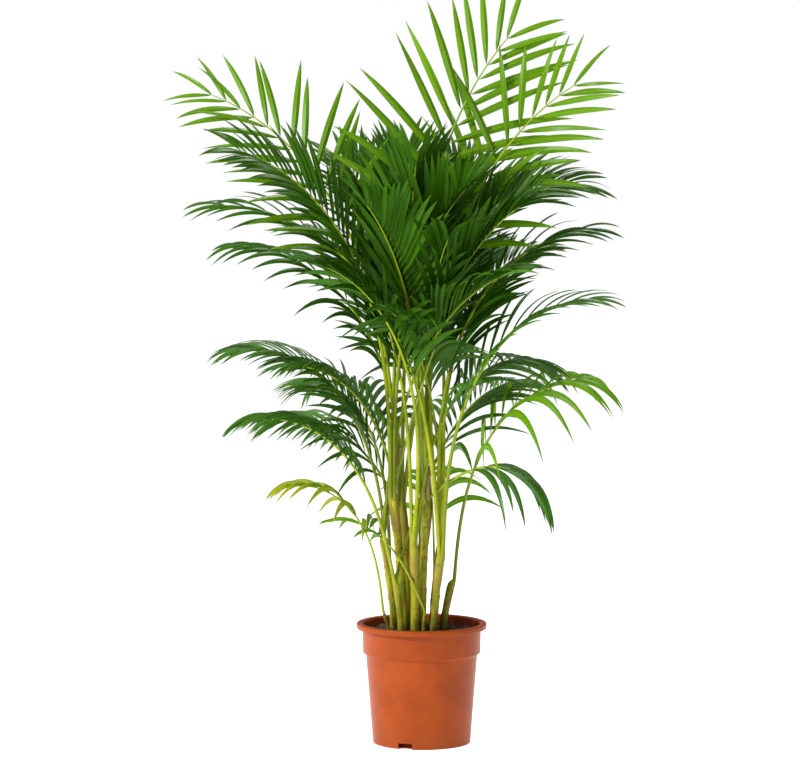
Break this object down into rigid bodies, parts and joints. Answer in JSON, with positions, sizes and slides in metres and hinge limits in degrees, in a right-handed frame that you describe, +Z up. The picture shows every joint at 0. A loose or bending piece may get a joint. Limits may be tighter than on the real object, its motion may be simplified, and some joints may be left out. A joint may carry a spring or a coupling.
{
  "type": "potted palm",
  "caption": "Tall feather palm: a clump of slim green canes with arching feather-shaped leaves, rooted in compost in a round terracotta-coloured plastic nursery pot.",
  "frame": {"origin": "centre of the underside of the pot, on the surface it stands on", "axes": "+Z up along the pot's axis; +X to the right seen from the front; the front is -Y"},
  "size_m": [0.85, 0.6616, 1.4161],
  "materials": {
    "terracotta_plastic": "satin moulded plastic in a terracotta colour",
    "compost": "rough, damp potting compost",
    "cane": "smooth yellow-green cane with ring scars and dry brown sheath edges",
    "leaf": "semi-gloss green leaf",
    "young_leaf": "semi-gloss, pale green, still folded",
    "dry_stalk": "dry, fibrous"
  },
  "bodies": {
    "root": {"cane_01": "cane", "cane_02": "cane", "cane_03": "cane", "cane_04": "cane", "cane_05": "cane", "cane_06": "cane", "cane_07": "cane", "cane_08": "cane", "cane_09": "cane", "cane_10": "cane", "cane_11": "cane", "cane_12": "cane", "cane_13": "cane", "cane_14": "cane", "cane_15": "cane", "compost": "compost", "cut_stalk_01": "dry_stalk", "cut_stalk_02": "dry_stalk", "leaf_01": "leaf", "leaf_02": "leaf", "leaf_03": "leaf", "leaf_04": "leaf", "leaf_05": "leaf", "leaf_06": "leaf", "leaf_07": "leaf", "leaf_08": "leaf", "leaf_09": "leaf", "leaf_10": "leaf", "leaf_11": "leaf", "leaf_12": "leaf", "leaf_13": "leaf", "leaf_14": "leaf", "leaf_15": "leaf", "leaf_16": "leaf", "leaf_17": "leaf", "leaf_18": "leaf", "leaf_19": "leaf", "leaf_20": "leaf", "leaf_21": "leaf", "leaf_22": "leaf", "leaf_23": "leaf", "leaf_24": "leaf", "leaf_25": "leaf", "leaf_26": "leaf", "leaf_27": "leaf", "leaf_28": "leaf", "leaf_29": "leaf", "leaf_30": "leaf", "leaf_31": "leaf", "leaf_32": "leaf", "leaf_33": "leaf", "leaf_34": "leaf", "leaf_35": "leaf", "leaf_36": "leaf", "nursery_pot": "terracotta_plastic", "seedling_stem_01": "cane", "seedling_stem_02": "cane", "seedling_stem_03": "cane", "spear_leaf_01": "young_leaf", "spear_leaf_02": "young_leaf"}
  },
  "joints": []
}
